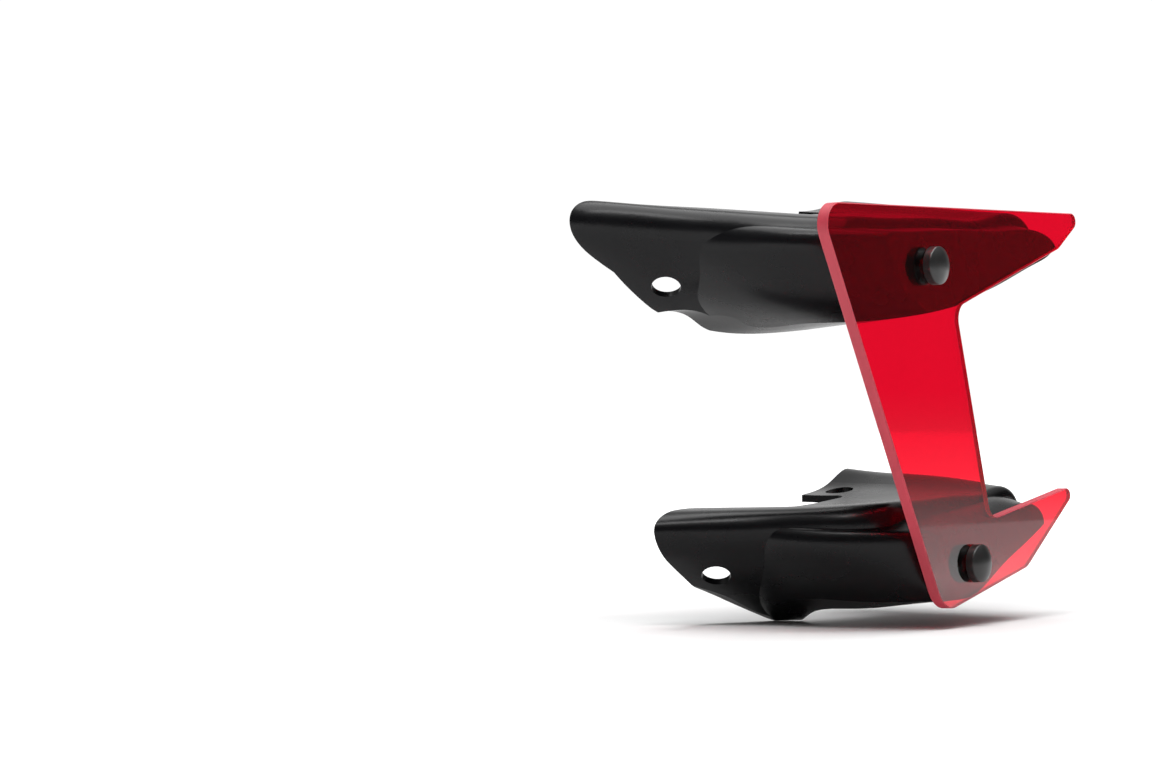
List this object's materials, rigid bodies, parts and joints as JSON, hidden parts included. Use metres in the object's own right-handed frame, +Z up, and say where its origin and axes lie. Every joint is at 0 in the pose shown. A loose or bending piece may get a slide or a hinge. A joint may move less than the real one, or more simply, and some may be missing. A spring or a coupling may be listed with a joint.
{
  "type": "motorcycle winglet",
  "caption": "Left-hand motorcycle winglet: a flat clear red end plate joins an upper and a lower hollow black formed wing with round mounting holes.",
  "frame": {"origin": "centre of the round mounting hole in the upper wing's front flange", "axes": "+X forward along the motorcycle, +Y outboard towards the rider's left, +Z up"},
  "size_m": [0.2125, 0.121, 0.1824],
  "materials": {
    "red_acrylic": "polished clear red sheet",
    "black_abs": "satin black",
    "black_nylon": "satin black",
    "dark_steel": "dark bare steel",
    "zinc_steel": "zinc plated",
    "blue_nylon": "satin"
  },
  "bodies": {
    "winglet": {"end_plate": "red_acrylic", "upper_wing": "black_abs", "lower_wing": "black_abs", "upper_cup_washer": "black_nylon", "lower_cup_washer": "black_nylon", "upper_button_screw": "dark_steel", "lower_button_screw": "dark_steel", "upper_flat_washer": "zinc_steel", "lower_flat_washer": "zinc_steel", "upper_lock_nut": "zinc_steel", "lower_lock_nut": "zinc_steel", "upper_nut_insert": "blue_nylon", "lower_nut_insert": "blue_nylon"},
    "upper_cap": {"upper_snap_cap": "black_nylon"},
    "lower_cap": {"lower_snap_cap": "black_nylon"}
  },
  "joints": [
    {"name": "upper_cap_lift", "type": "slide", "parent": "winglet", "child": "upper_cap", "axis": [0, 1, 0], "range_m": [0, 0.012]},
    {"name": "lower_cap_lift", "type": "slide", "parent": "winglet", "child": "lower_cap", "axis": [0, 1, 0], "range_m": [0, 0.012]}
  ]
}
